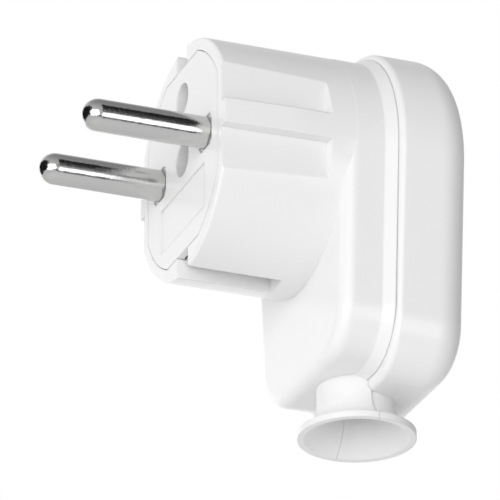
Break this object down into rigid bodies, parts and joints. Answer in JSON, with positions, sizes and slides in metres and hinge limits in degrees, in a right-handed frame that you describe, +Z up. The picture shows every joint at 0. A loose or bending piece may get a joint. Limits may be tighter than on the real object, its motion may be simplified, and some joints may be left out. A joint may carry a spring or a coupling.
{
  "type": "type f plug",
  "caption": "Angled rewirable mains plug: round contact pins in a round keyed nose, earth clips in notches, an earth socket, a split white shell and a cord bell pointing down.",
  "frame": {"origin": "middle of the contact face, half way between the pins", "axes": "+X to the right when facing the pins, +Y from the pins into the body, +Z up, cord bell down"},
  "size_m": [0.0402, 0.0572, 0.0608],
  "materials": {
    "shell_plastic": "smooth gloss moulding",
    "carrier_plastic": "smooth satin moulding",
    "pin_metal": "polished nickel plating on brass",
    "earth_metal": "nickel plated spring brass sheet",
    "screw_steel": "zinc plated",
    "insert_brass": "turned brass",
    "clamp_plastic": "plain moulding"
  },
  "bodies": {
    "root": {"front_housing": "shell_plastic", "rear_cover": "shell_plastic", "pin_carrier": "carrier_plastic", "live_pin": "pin_metal", "neutral_pin": "pin_metal", "live_terminal_screw": "screw_steel", "neutral_terminal_screw": "screw_steel", "earth_strap": "earth_metal", "earth_sleeve": "earth_metal", "earth_nut": "screw_steel", "earth_washer": "screw_steel", "earth_terminal_screw": "screw_steel", "closing_screw": "screw_steel", "closing_insert": "insert_brass", "cord_clamp": "clamp_plastic", "clamp_screw_left": "screw_steel", "clamp_screw_right": "screw_steel"}
  },
  "joints": []
}
